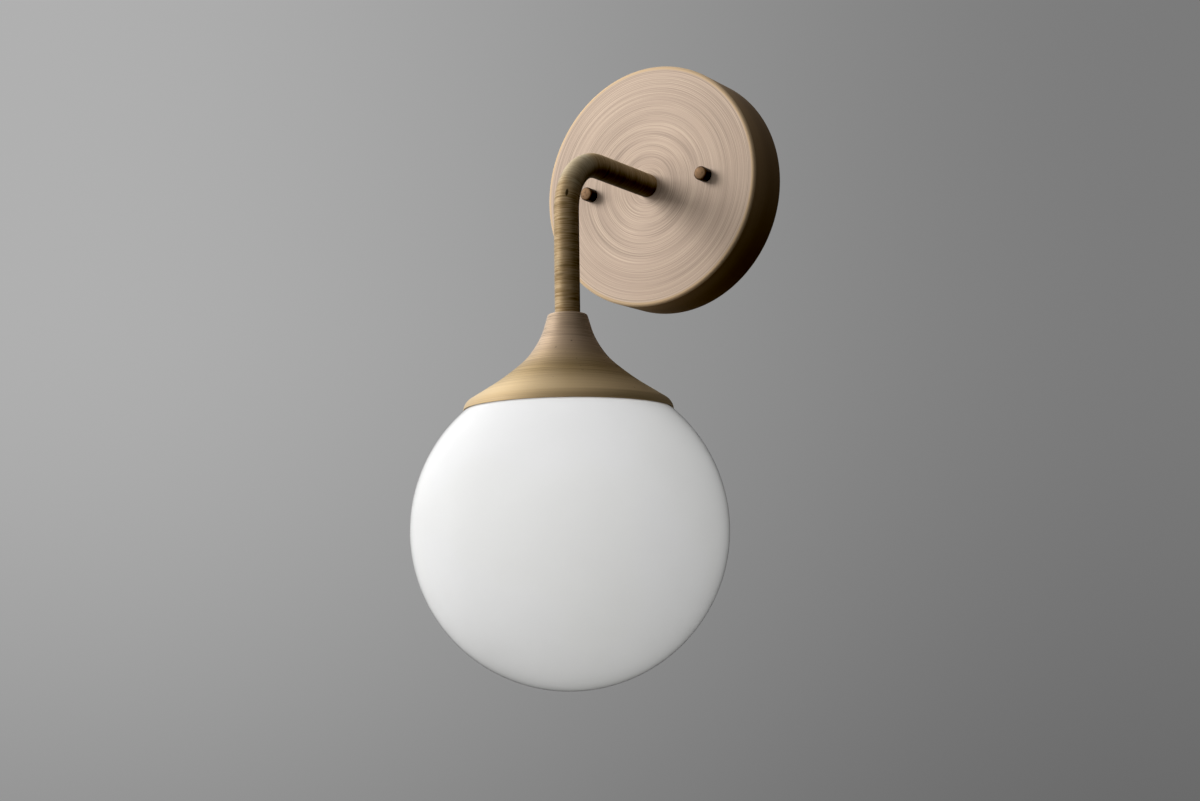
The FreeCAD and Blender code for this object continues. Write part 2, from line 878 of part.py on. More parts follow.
for i in range(clip_count):
    number = str(i + 1)
    save("clip_arm_" + number, at_clip(make_clip_arm(), clip_bearings[i]))
    save("tip_sleeve_" + number, at_clip(make_tip_sleeve(), clip_bearings[i]))
    save("clip_pin_" + number, at_clip(make_clip_pin(), clip_bearings[i]))
    save("clip_spring_" + number, at_clip(make_clip_spring(), clip_bearings[i]))

save("glass_globe", make_globe())

save("socket_cap", make_socket_cap())
save("socket_shell", make_socket_shell())
save("socket_liner", make_socket_liner())
save("socket_block", make_socket_block())
save("socket_screw_shell", make_screw_shell())
save("socket_contact", make_centre_contact())
save("terminal_screw_live", make_terminal_screw(-1))
save("terminal_screw_neutral", make_terminal_screw(1))

save("lamp_screw_cap", make_lamp_screw_cap())
save("lamp_insulator", make_lamp_insulator())
save("lamp_contact", make_lamp_contact())
save("lamp_housing", make_lamp_housing())
save("lamp_bulb", make_lamp_bulb())

save("live_lead", make_lead(-1, live_mouth))
save("neutral_lead", make_lead(1, neutral_mouth))
save("ground_lead", make_ground_lead(ground_mouth))
save("wire_connector_live", make_wire_connector(Vector(-29.0, -12.0, -39.0), live_mouth))
save("wire_connector_neutral", make_wire_connector(Vector(29.0, -12.0, -39.0), neutral_mouth))
save("wire_connector_ground", make_wire_connector(Vector(-16.0, -13.0, 34.0), ground_mouth))

print(len(node_names), "pieces; the holder's rim is at",
      round(sqrt((globe_diameter / 2 + glass_gap) ** 2 - (rim_diameter / 2) ** 2), 2),
      "above the globe's centre")
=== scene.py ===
import math
import bmesh
import bpy
from mathutils import Matrix, Vector


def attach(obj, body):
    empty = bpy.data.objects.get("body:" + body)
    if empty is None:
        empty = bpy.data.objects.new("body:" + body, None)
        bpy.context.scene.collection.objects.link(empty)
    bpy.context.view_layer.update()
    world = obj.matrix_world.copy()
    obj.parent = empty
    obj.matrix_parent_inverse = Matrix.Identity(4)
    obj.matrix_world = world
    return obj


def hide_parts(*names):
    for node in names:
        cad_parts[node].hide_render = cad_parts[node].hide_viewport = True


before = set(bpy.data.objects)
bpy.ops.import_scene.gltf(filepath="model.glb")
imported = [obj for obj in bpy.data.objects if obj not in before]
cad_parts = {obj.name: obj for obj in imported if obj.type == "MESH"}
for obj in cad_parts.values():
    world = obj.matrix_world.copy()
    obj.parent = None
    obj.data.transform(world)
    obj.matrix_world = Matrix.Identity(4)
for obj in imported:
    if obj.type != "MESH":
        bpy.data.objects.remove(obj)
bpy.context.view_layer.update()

# all sizes and places are in metres
dropY = -0.101     # the vertical line below the arm's end
globeZ = -0.1815   # the globe's centre on it

# how near counts as the same height, the same radius and the same point
sameHeight = 2e-5
sameRadius = 2e-4
samePoint = 1e-6


def linear(hexColour):  # sRGB hex to the linear values that shaders take
    values = []
    for i in (1, 3, 5):
        c = int(hexColour[i:i + 2], 16) / 255
        values.append(c / 12.92 if c <= 0.04045 else ((c + 0.055) / 1.055) ** 2.4)
    return (*values, 1.0)


def addNode(tree, kind, settings=None, inputs=None):
    # a Mix node's two numbers are inputs 2 and 3, its two colours are 6 and 7, and it gives a
    # number as output 0 and a colour as output 2
    node = tree.nodes.new("ShaderNode" + kind)
    for name, value in (settings or {}).items():
        setattr(node, name, value)
    for name, value in (inputs or {}).items():
        if isinstance(value, bpy.types.NodeSocket):
            tree.links.new(value, node.inputs[name])
        else:
            node.inputs[name].default_value = value
    return node


def newMaterial(name, metallic=0.0, roughness=0.5, **sockets):
    material = bpy.data.materials.new(name)
    material.use_nodes = True
    shader = material.node_tree.nodes["Principled BSDF"]
    shader.inputs["Metallic"].default_value = metallic
    shader.inputs["Roughness"].default_value = roughness
    for socket, value in sockets.items():
        shader.inputs[socket.replace("_", " ")].default_value = value
    return material, material.node_tree, shader


# modelling helpers

def startPiece(name):  # names the primitive that was just added and keeps its place in its mesh
    piece = bpy.context.object
    piece.name = name
    piece.data.name = name
    bpy.ops.object.transform_apply(location=True, rotation=True, scale=True)
    bpy.ops.object.mode_set(mode="EDIT")
    return piece


def pick(piece, kind, test):
    bpy.ops.mesh.select_mode(type=kind)
    bpy.ops.mesh.select_all(action="DESELECT")
    mesh = bmesh.from_edit_mesh(piece.data)
    items = {"VERT": mesh.verts, "EDGE": mesh.edges, "FACE": mesh.faces}[kind]
    for item in items:
        if test(item):
            item.select_set(True)
    bmesh.update_edit_mesh(piece.data)


def ringEdges(radius, height):  # a test for the edges of one level ring round the vertical line
    def test(edge):
        for v in edge.verts:
            if abs(v.co.z - height) > sameHeight:
                return False
            if abs(math.hypot(v.co.x, v.co.y - dropY) - radius) > sameRadius:
                return False
        return True
    return test


def useModifier(piece, kind, **settings):
    bpy.ops.object.select_all(action="DESELECT")
    bpy.context.view_layer.objects.active = piece
    piece.select_set(True)
    modifier = piece.modifiers.new(kind.title(), kind)
    for name, value in settings.items():
        setattr(modifier, name, value)
    bpy.ops.object.modifier_apply(modifier=modifier.name)


def endPiece(piece, body, material, node, sharpest=32):  # edges up to this angle look smooth
    bpy.ops.object.select_all(action="DESELECT")
    bpy.context.view_layer.objects.active = piece
    piece.select_set(True)
    bpy.ops.object.shade_smooth_by_angle(angle=math.radians(sharpest))
    piece.data.materials.clear()
    piece.data.materials.append(material)
    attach(piece, body)
    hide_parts(node)
    print("made", piece.name, len(piece.data.polygons), "faces")


# colours of the aged brass, as they look on each piece
brassTones = {
    "faceHigh": "#bfac9b",    # rubbed face of the wall plate, a pinkish tan
    "faceLow": "#b09e8f",
    "faceLine": "#cdbca8",    # thin lines cut through to bright brass
    "faceGrey": "#958678",    # thin lines with grey patina left in them
    "faceRose": "#bda896",
    "side": "#937a5a",        # brown patina on the plate's side
    # painted shade: the plate's side grows darker towards the wall
    "paintedSideShade": "#655340",
    "edge": "#c3aa86",        # bare brass on the worn outer edge
    "tubeHigh": "#bba583",
    "tubeLow": "#9a825b",
    "tubeGrey": "#b8ae96",
    "oldPatinaAndShade": "#21180b",     # old patina left in scratches, specks and a nick, and painted shade on the arm's underside
    "spunHigh": "#b49d73",
    "spunLow": "#856f4a",
    # lighter down the flare towards the rim: brass rubbed nearly bare, and a painted highlight
    "spunRose": "#d2bda8",
    "spunRimWearAndHighlight": "#d9c39d",     # brass rubbed nearly bare towards the holder's rim
    "nutEnd": "#5a4531",
    "nutSide": "#0d0704",
}


def layTones(tree, colour, coats):
    # each tone shows where its mask goes from low to high, and covers up to its strength
    for mask, low, high, strength, tone in coats:
        amount = addNode(tree, "MapRange", {"interpolation_type": "SMOOTHSTEP"}, {
            "Value": mask, "From Min": low, "From Max": high, "To Max": strength}).outputs[0]
        colour = addNode(tree, "Mix", {"data_type": "RGBA"}, {
            "Factor": amount, 6: colour, 7: linear(tone)}).outputs[2]
    return colour


def latheTurn(tree, place, level):
    # the place seen along the lathe's axis, its direction outwards, and that direction shortened,
    # so that the grain changes slowly round the lines
    flat = addNode(tree, "VectorMath", {"operation": "MULTIPLY"}, {0: place, 1: level}).outputs[0]
    turn = addNode(tree, "VectorMath", {"operation": "NORMALIZE"}, {0: flat}).outputs[0]
    slow = addNode(tree, "VectorMath", {"operation": "SCALE"}, {0: turn, "Scale": 0.8}).outputs[0]
    return flat, turn, slow


def latheGrain(tree, along, slow, spacing, detail):
    # noise that changes fast across the lathe's lines and slowly round them
    step = addNode(tree, "Math", {"operation": "DIVIDE"}, {0: along, 1: spacing}).outputs[0]
    offset = addNode(tree, "CombineXYZ", None, {"X": step, "Y": step}).outputs[0]
    spot = addNode(tree, "VectorMath", {"operation": "ADD"}, {0: slow, 1: offset}).outputs[0]
    return addNode(tree, "TexNoise", None, {
        "Vector": spot, "Scale": 1.0, "Detail": detail, "Roughness": 0.6}).outputs[0]


def finishSurface(tree, shader, colour, grain, roughness):
    # grain that stands up is rubbed smoother than the hollows between, which are 0.08 mm deep
    smooth, rough = roughness
    tree.links.new(colour, shader.inputs["Base Color"])
    gloss = addNode(tree, "MapRange", None, {
        "Value": grain, "From Min": 0.3, "From Max": 0.7,
        "To Min": rough, "To Max": smooth}).outputs[0]
    tree.links.new(gloss, shader.inputs["Roughness"])
    bump = addNode(tree, "Bump", None, {
        "Height": grain, "Strength": 0.15, "Distance": 0.00008}).outputs[0]
    tree.links.new(bump, shader.inputs["Normal"])


turnedBrass = {
    "lineSpacing": 0.00035, "cutSpacing": 0.0004, "swellSpacing": 0.0045, "swellShare": 0.05,
    "cloudScale": 26.0, "lightSpread": 0.5, "roughness": (0.60, 0.70),
    # where each starts to show and where it is full
    "sideDepth": (-0.0262, -0.0250), "paintedShadeDepth": (-0.0240, -0.0080),
    "edgeDepth": (-0.0251, -0.0256), "edgeRadius": (0.0611, 0.0620),
}


def turnedAntiqueBrass(d):
    # Sheet brass, darkened and then rubbed as it turned on a lathe, under a thin dull lacquer: an
    # even tan face with faint rings, brown patina kept on the side, painted shade darkening the
    # side towards the wall, and a bright worn edge.
    # The brush lines are about 0.1 mm apart on the real plate and are drawn 0.35 mm apart to show.
    material, tree, shader = newMaterial(
        "turnedAntiqueBrass", 1.0, Coat_Weight=0.1, Coat_Roughness=0.4,
        Anisotropic=d["lightSpread"])
    place = addNode(tree, "TexCoord").outputs["Object"]
    flat, turn, slow = latheTurn(tree, place, (1, 0, 1))
    radius = addNode(tree, "VectorMath", {"operation": "LENGTH"}, {0: flat}).outputs["Value"]
    depth = addNode(tree, "SeparateXYZ", None, {0: place}).outputs["Y"]
    across = addNode(tree, "Math", {"operation": "ADD"}, {0: radius, 1: depth}).outputs[0]

    fine = latheGrain(tree, across, slow, d["lineSpacing"], 2.0)
    swells = latheGrain(tree, across, slow, d["swellSpacing"], 2.0)
    cuts = latheGrain(tree, across, slow, d["cutSpacing"], 0.0)
    cloud = addNode(tree, "TexNoise", None, {
        "Vector": place, "Scale": d["cloudScale"], "Detail": 3.0}).outputs[0]
    grain = addNode(tree, "Mix", {"data_type": "FLOAT"}, {
        "Factor": d["swellShare"], 2: fine, 3: swells}).outputs[0]
    nearFront = addNode(tree, "MapRange", None, {
        "Value": depth, "From Min": d["edgeDepth"][0], "From Max": d["edgeDepth"][1]}).outputs[0]
    nearRim = addNode(tree, "MapRange", None, {
        "Value": radius, "From Min": d["edgeRadius"][0], "From Max": d["edgeRadius"][1]}).outputs[0]
    worn = addNode(tree, "Math", {"operation": "MULTIPLY"}, {0: nearRim, 1: nearFront}).outputs[0]
    colour = layTones(tree, linear(brassTones["faceLow"]), [
        (grain, 0.3, 0.7, 1.0, brassTones["faceHigh"]),
        (cloud, 0.45, 0.75, 0.3, brassTones["faceRose"]),
        (cuts, 0.60, 0.72, 0.6, brassTones["faceLine"]),
        (cuts, 0.40, 0.28, 0.6, brassTones["faceGrey"]),
        (depth, *d["sideDepth"], 0.9, brassTones["side"]),
        # painted shade on the side, darker towards the wall
        (depth, *d["paintedShadeDepth"], 0.6, brassTones["paintedSideShade"]),
        (worn, 0.0, 1.0, 0.75, brassTones["edge"]),
    ])
    # light spreads across the brush lines: outwards on the face, and front to back on the side
    spread = addNode(tree, "VectorMath", {"operation": "ADD"}, {0: turn, 1: (0, 1, 0)}).outputs[0]
    tree.links.new(spread, shader.inputs["Tangent"])
    finishSurface(tree, shader, colour, grain, d["roughness"])
    return material


agedTube = {
    # how fast each grain changes across, across and along the tube, and its detail
    "scratches": ((110, 110, 2200), 2.0), "bands": ((70, 70, 600), 3.0),
    "patches": ((55, 55, 40), 4.0),
    "bandShare": 0.25, "lightSpread": 0.5, "roughness": (0.70, 0.80),
    "bendMiddle": 0.096, "greyedFrom": 0.022, "greyedTo": 0.008,
    # painted shade, darker across the tube towards its underside and the inside of the bend
    "paintedUnderShade": (0.0012, -0.0038),
    "nickPlace": (0.0033, 0.0051, 0.0496), "nickLength": 0.45, "nickSize": (0.0009, 0.0005),
}


def agedTubeBrass(d):
    # Bent brass tube, blackened and rubbed crosswise with an abrasive pad: fine rings round the
    # tube, grey patches on the bend, and painted shade along its underside, the inside of the bend
    # and the side facing the wall.
    # The scratches are about 0.15 mm apart on the real tube and are drawn 0.45 mm apart to show.
    material, tree, shader = newMaterial(
        "agedTubeBrass", 1.0, Coat_Weight=0.1, Coat_Roughness=0.3, Anisotropic=d["lightSpread"])
    straight = addNode(tree, "Attribute", {"attribute_name": "straightened"}).outputs["Vector"]
    spot = addNode(tree, "SeparateXYZ", None, {0: straight})
    grains = []
    for scale, detail in (d["scratches"], d["bands"], d["patches"]):
        stretched = addNode(tree, "Mapping", None, {"Vector": straight, "Scale": scale}).outputs[0]
        grains.append(addNode(tree, "TexNoise", None, {
            "Vector": stretched, "Scale": 1.0, "Detail": detail}).outputs[0])
    fine, bands, patches = grains
    grain = addNode(tree, "Mix", {"data_type": "FLOAT"}, {
        "Factor": d["bandShare"], 2: fine, 3: bands}).outputs[0]
    squashed = addNode(tree, "VectorMath", {"operation": "MULTIPLY"}, {
        0: straight, 1: (1, 1, d["nickLength"])}).outputs[0]
    nick = addNode(tree, "VectorMath", {"operation": "DISTANCE"}, {
        0: squashed, 1: d["nickPlace"]}).outputs["Value"]
    pastBend = addNode(tree, "Math", {"operation": "SUBTRACT"}, {
        0: spot.outputs["Z"], 1: d["bendMiddle"]}).outputs[0]
    offBend = addNode(tree, "Math", {"operation": "ABSOLUTE"}, {0: pastBend}).outputs[0]
    nearBend = addNode(tree, "MapRange", None, {
        "Value": offBend, "From Min": d["greyedFrom"], "From Max": d["greyedTo"]}).outputs[0]
    greyed = addNode(tree, "Math", {"operation": "MULTIPLY"}, {0: patches, 1: nearBend}).outputs[0]
    colour = layTones(tree, linear(brassTones["tubeLow"]), [
        (grain, 0.36, 0.64, 1.0, brassTones["tubeHigh"]),
        (greyed, 0.30, 0.56, 0.6, brassTones["tubeGrey"]),
        (patches, 0.56, 0.70, 0.45, brassTones["tubeGrey"]),
        # painted shade on the tube's underside, inside the bend and on the side towards the wall
        (spot.outputs["Y"], *d["paintedUnderShade"], 0.85, brassTones["oldPatinaAndShade"]),
        (bands, 0.38, 0.28, 0.25, brassTones["oldPatinaAndShade"]),
        (nick, *d["nickSize"], 0.85, brassTones["oldPatinaAndShade"]),
    ])
    along = addNode(tree, "Attribute", {"attribute_name": "tubeAxis"}).outputs["Vector"]
    tree.links.new(along, shader.inputs["Tangent"])  # light spreads across the rubbed rings
    finishSurface(tree, shader, colour, grain, d["roughness"])
    return material


spunBrass = {
    "lineSpacing": 0.0004, "swellSpacing": 0.0020, "swellShare": 0.35,
    "speckScale": 420.0, "lightSpread": 0.55, "roughness": (0.74, 0.82),
    # heights where each starts to show and where it is full
    "rosyNeck": (-0.110, -0.090), "bareAndLitRim": (-0.106, -0.119), "scoredNeck": (-0.108, -0.090),
}


def spunAntiqueBrass(d):
    # Brass spun over a former and brushed as it turned, then lacquered: level lines that are clear
    # on the narrow neck and faint on the flare, rosy grey patina on the neck, and a few specks.
    # The lines are about 0.1 mm apart on the real holder and are drawn 0.4 mm apart to show.
    material, tree, shader = newMaterial(
        "spunAntiqueBrass", 1.0, Coat_Weight=0.1, Coat_Roughness=0.3, Anisotropic=d["lightSpread"])
    place = addNode(tree, "TexCoord").outputs["Object"]
    own = addNode(tree, "Mapping", None, {"Vector": place, "Location": (0, -dropY, 0)}).outputs[0]
    slow = latheTurn(tree, own, (1, 1, 0))[2]
    height = addNode(tree, "SeparateXYZ", None, {0: place}).outputs["Z"]
    fine = latheGrain(tree, height, slow, d["lineSpacing"], 2.0)
    swells = latheGrain(tree, height, slow, d["swellSpacing"], 3.0)
    grain = addNode(tree, "Mix", {"data_type": "FLOAT"}, {
        "Factor": d["swellShare"], 2: fine, 3: swells}).outputs[0]
    specks = addNode(tree, "TexNoise", None, {
        "Vector": place, "Scale": d["speckScale"], "Detail": 1.0}).outputs[0]
    onNeck = addNode(tree, "MapRange", None, {
        "Value": height, "From Min": d["scoredNeck"][0], "From Max": d["scoredNeck"][1],
        "To Min": 0.25, "To Max": 1.0}).outputs[0]
    dark = addNode(tree, "Math", {"operation": "MULTIPLY_ADD"}, {
        0: fine, 1: -1.0, 2: 1.0}).outputs[0]
    scored = addNode(tree, "Math", {"operation": "MULTIPLY"}, {0: dark, 1: onNeck}).outputs[0]
    colour = layTones(tree, linear(brassTones["spunLow"]), [
        (grain, 0.34, 0.66, 1.0, brassTones["spunHigh"]),
        (height, *d["rosyNeck"], 0.75, brassTones["spunRose"]),
        # painted highlight and bare brass, lighter down the flare towards the rim
        (height, *d["bareAndLitRim"], 0.75, brassTones["spunRimWearAndHighlight"]),
        (scored, 0.50, 0.72, 0.5, brassTones["oldPatinaAndShade"]),
        (specks, 0.76, 0.79, 0.5, brassTones["oldPatinaAndShade"]),
    ])
    upwards = addNode(tree, "CombineXYZ", None, {"Z": 1.0}).outputs[0]
    tree.links.new(upwards, shader.inputs["Tangent"])  # light spreads up and down the holder
    finishSurface(tree, shader, colour, grain, d["roughness"])
    return material


darkNut = {"endDepth": (-0.0316, -0.0326), "grainScale": 700.0, "roughness": (0.36, 0.48)}


def brownedTurnedBrass(d):
    # Small turned nuts, darkened almost black, with a coppery end where fingers have rubbed it.
    # Their grain is a few hundredths of a millimetre on the real nuts, and 1.4 mm here to show.
    material, tree, shader = newMaterial(
        "brownedTurnedBrass", 1.0, Coat_Weight=0.1, Coat_Roughness=0.3)
    place = addNode(tree, "TexCoord").outputs["Object"]
    depth = addNode(tree, "SeparateXYZ", None, {0: place}).outputs["Y"]
    grain = addNode(tree, "TexNoise", None, {
        "Vector": place, "Scale": d["grainScale"], "Detail": 2.0}).outputs[0]
    colour = layTones(tree, linear(brassTones["nutSide"]), [
        (depth, *d["endDepth"], 1.0, brassTones["nutEnd"]),
        (grain, 0.45, 0.30, 0.5, brassTones["nutSide"]),
    ])
    finishSurface(tree, shader, colour, grain, d["roughness"])
    return material


whiteGlass = {"low": "#f3f3f2", "high": "#fafaf9", "cloudScale": 14.0, "waveScale": 22.0,
              "waveHeight": 0.001, "lightReach": 0.0012}


def opalGlass(d):
    # Blown opal glass, white all through and fire-polished: light spreads a little inside the
    # white wall, so shading is soft, and the gloss has slight waves from the blowing, about 45 mm
    # long. Its gloss is half that of clear glass, which keeps the outline nearly as light as the
    # middle.
    material, tree, shader = newMaterial(
        "opalGlass", 0.0, 0.05, Subsurface_Weight=1.0, Subsurface_Scale=d["lightReach"],
        Subsurface_Radius=(1.0, 1.0, 1.0), IOR=1.5, Specular_IOR_Level=0.25)
    place = addNode(tree, "TexCoord").outputs["Object"]
    cloud = addNode(tree, "TexNoise", None, {
        "Vector": place, "Scale": d["cloudScale"], "Detail": 2.0}).outputs[0]
    colour = layTones(tree, linear(d["low"]), [(cloud, 0.3, 0.7, 1.0, d["high"])])
    tree.links.new(colour, shader.inputs["Base Color"])
    wave = addNode(tree, "TexNoise", None, {
        "Vector": place, "Scale": d["waveScale"], "Detail": 0.0}).outputs[0]
    bump = addNode(tree, "Bump", None, {
        "Height": wave, "Strength": 0.1, "Distance": d["waveHeight"]}).outputs[0]
    tree.links.new(bump, shader.inputs["Normal"])
    return material


# plain finishes of the hidden pieces

def speckled(name, hexLow, hexHigh, grain, metallic, roughness):
    # two close tones and a fine bump; grain is the texture's spacing in metres, mostly drawn
    # coarser than the real one so that it shows
    material, tree, shader = newMaterial(name, metallic, roughness)
    place = addNode(tree, "TexCoord").outputs["Object"]
    noise = addNode(tree, "TexNoise", None, {
        "Vector": place, "Scale": 1.0 / grain, "Detail": 4.0, "Roughness": 0.6}).outputs[0]
    cut = addNode(tree, "MapRange", None, {
        "Value": noise, "From Min": 0.35, "From Max": 0.65}).outputs[0]
    colour = addNode(tree, "Mix", {"data_type": "RGBA"}, {
        "Factor": cut, 6: linear(hexLow), 7: linear(hexHigh)}).outputs[2]
    tree.links.new(colour, shader.inputs["Base Color"])
    bump = addNode(tree, "Bump", None, {
        "Height": noise, "Strength": 0.3, "Distance": 0.00005}).outputs[0]
    tree.links.new(bump, shader.inputs["Normal"])
    return material


def threadedSteel(name, pitch, hexLow, hexHigh):
    # Rolled thread on zinc plated steel, along Y: a fine even ripple at the thread's real pitch.
    # A Wave texture repeats every pi / 10 metres at scale 1.
    material, tree, shader = newMaterial(name, 1.0, 0.34)
    place = addNode(tree, "TexCoord").outputs["Object"]
    wave = addNode(tree, "TexWave", {"bands_direction": "Y"}, {
        "Vector": place, "Scale": math.pi / 10 / pitch}).outputs["Fac"]
    colour = layTones(tree, linear(hexLow), [(wave, 0.2, 0.8, 1.0, hexHigh)])
    tree.links.new(colour, shader.inputs["Base Color"])
    bump = addNode(tree, "Bump", None, {
        "Height": wave, "Strength": 0.8, "Distance": 0.0003}).outputs[0]
    tree.links.new(bump, shader.inputs["Normal"])
    return material


finishes = {
    "turned": turnedAntiqueBrass(turnedBrass),
    "tube": agedTubeBrass(agedTube),
    "spun": spunAntiqueBrass(spunBrass),
    "opal": opalGlass(whiteGlass),
    "nut": brownedTurnedBrass(darkNut),
    # cool grey with faint crystals in the plating
    "zinc": speckled("zincPlatedSteel", "#8d9094", "#b9bbbd", 0.0022, 1.0, 0.34),
    # drawn wire, darker and shinier
    "wire": speckled("brightSpringSteel", "#77797c", "#97999c", 0.0012, 1.0, 0.28),
    # bare yellow stampings, slightly stained
    "rawBrass": speckled("rawSheetBrass", "#b08d4e", "#cfae6c", 0.003, 1.0, 0.3),
    # bare orange wire, dulled in spots
    "copper": speckled("bareCopperWire", "#a8623f", "#c9825a", 0.0015, 1.0, 0.32),
    # milky sleeve, dipped on
    "sleeve": speckled("softClearVinyl", "#cfcfc6", "#e2e2da", 0.002, 0.0, 0.35),
    # moulded, with a slight shine
    "black": speckled("blackPhenolic", "#121212", "#1f1f1e", 0.0009, 0.0, 0.42),
    # pressed paper, dull and mottled
    "fibre": speckled("fibrePaper", "#2a241f", "#3b332b", 0.0007, 0.0, 0.85),
    # bright rolled metal
    "lampCap": speckled("pressedAluminium", "#b7b8b8", "#d2d3d3", 0.002, 1.0, 0.3),
    # glossy, nearly black
    "lampBlack": speckled("blackLampGlass", "#0c0c0e", "#16161a", 0.001, 0.0, 0.12),
    # moulded with a fine matt surface
    "lampWhite": speckled("frostedPolycarbonate", "#e9e9e4", "#f4f4f0", 0.0012, 0.0, 0.55),
    # extruded insulation, a soft sheen
    "blackWire": speckled("blackPvcInsulation", "#0f0f10", "#1a1a1b", 0.0011, 0.0, 0.4),
    "whiteWire": speckled("whitePvcInsulation", "#dcdcd6", "#eaeae5", 0.0011, 0.0, 0.4),
    # moulded caps in signal colours
    "orange": speckled("orangePolypropylene", "#c9561a", "#dc6a28", 0.0012, 0.0, 0.45),
    "green": speckled("greenPolypropylene", "#1f6b36", "#2a7d43", 0.0012, 0.0, 0.45),
    "studThread": threadedSteel("studThread", 0.00079, "#8d9094", "#b9bbbd"),
    "pipeThread": threadedSteel("pipeThread", 0.00094, "#8d9094", "#b9bbbd"),
    "groundThread": threadedSteel("groundThread", 0.00079, "#2c6b45", "#4d8b63"),
}

nodeFinishes = {
    "mounting_strap": "zinc",
    "mounting_stud_left": "studThread", "mounting_stud_right": "studThread",
    "stud_nut_left": "zinc", "stud_nut_right": "zinc", "ground_screw": "groundThread",
    "canopy_nipple": "pipeThread", "canopy_lock_washer": "zinc", "canopy_nut": "zinc",
    "wire_bushing": "black", "holder_nipple": "zinc", "holder_nut": "zinc", "hub_nut": "zinc",
    "clip_hub": "zinc", "socket_cap": "rawBrass", "socket_shell": "rawBrass",
    "socket_liner": "fibre", "socket_block": "black", "socket_screw_shell": "rawBrass",
    "socket_contact": "rawBrass",
    "terminal_screw_live": "rawBrass", "terminal_screw_neutral": "zinc",
    "lamp_screw_cap": "lampCap", "lamp_insulator": "lampBlack", "lamp_contact": "lampCap",
    "lamp_housing": "lampWhite", "lamp_bulb": "lampWhite",
    "wire_connector_live": "orange", "wire_connector_neutral": "orange",
    "wire_connector_ground": "green",
}
for number in "123":
    nodeFinishes["clip_arm_" + number] = "zinc"
    nodeFinishes["clip_pin_" + number] = "zinc"
    nodeFinishes["tip_sleeve_" + number] = "sleeve"
    nodeFinishes["clip_spring_" + number] = "wire"
for nodeName, finishName in nodeFinishes.items():
    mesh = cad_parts[nodeName].data
    mesh.materials.clear()
    mesh.materials.append(finishes[finishName])
print("finished", len(nodeFinishes), "kept pieces")


# wall plate

wallPlate = {
    "radius": 0.0635, "depth": 0.027, "wall": 0.0012, "edgeRound": 0.0016, "edgeSteps": 6,
    "outerRing": 0.45,  # share of the face that the first inset takes
    "centreHole": 0.00515, "studHole": 0.0023, "studSpacing": 0.070,
    "sides": 192, "holeSides": 48, "drillLength": 0.01,
}


def makeWallPlate(d):
    bpy.ops.object.select_all(action="DESELECT")
    bpy.ops.mesh.primitive_cylinder_add(
        vertices=d["sides"], radius=d["radius"], depth=d["depth"],
        location=(0, -d["depth"] / 2, 0), rotation=(math.pi / 2, 0, 0))
    plate = startPiece("wallPlate")
    pick(plate, "FACE", lambda f: f.normal.y > 0.9)
    bpy.ops.mesh.delete(type="FACE")
    pick(plate, "FACE", lambda f: f.normal.y < -0.9)
    bpy.ops.mesh.inset(thickness=d["radius"] * d["outerRing"])
    bpy.ops.mesh.inset(thickness=d["radius"] * (1 - d["outerRing"]) - d["centreHole"])
    bpy.ops.mesh.delete(type="FACE")
    pick(plate, "EDGE", lambda e: all(
        v.co.y < sameHeight - d["depth"]
        and math.hypot(v.co.x, v.co.z) > d["radius"] - sameRadius for v in e.verts))
    bpy.ops.mesh.bevel(offset=d["edgeRound"], segments=d["edgeSteps"], affect="EDGES")
    bpy.ops.object.mode_set(mode="OBJECT")
    useModifier(plate, "SOLIDIFY", thickness=d["wall"], offset=-1.0, use_even_offset=True)
    for side in (-1, 1):
        bpy.ops.object.select_all(action="DESELECT")
        bpy.ops.mesh.primitive_cylinder_add(
            vertices=d["holeSides"], radius=d["studHole"], depth=d["drillLength"],
            location=(side * d["studSpacing"] / 2, -d["depth"], 0), rotation=(math.pi / 2, 0, 0))
        drill = bpy.context.object
        useModifier(plate, "BOOLEAN", operation="DIFFERENCE", object=drill)
        bpy.data.objects.remove(drill)
    endPiece(plate, "fixture", finishes["turned"], "canopy")


makeWallPlate(wallPlate)


# arm

bentArm = {
    "radius": 0.0061, "wall": 0.00105, "start": 0.027, "reach": -dropY, "bend": 0.028,
    "end": 0.0787, "sides": 64, "bendSteps": 28,
}


def straighten(arm, d):  # keeps each point's place in the unbent tube, and which way the tube runs
    line = arm.data.attributes.new("straightened", "FLOAT_VECTOR", "POINT")
    axis = arm.data.attributes.new("tubeAxis", "FLOAT_VECTOR", "POINT")
    corner = d["reach"] - d["bend"]
    for i, v in enumerate(arm.data.vertices):
        x, y, z = v.co
        out = -y - corner
        down = -z - d["bend"]
        turn = 0.0
        if out <= 0:
            spot = (x, z, -y)
        elif down <= 0:
            turn = math.atan2(out, -down)
            spot = (x, math.hypot(out, down) - d["bend"], corner + d["bend"] * turn)
        else:
            turn = math.pi / 2
            spot = (x, -y - d["reach"], corner + d["bend"] * turn + down)
        line.data[i].vector = spot
        axis.data[i].vector = (0, -math.cos(turn), -math.sin(turn))


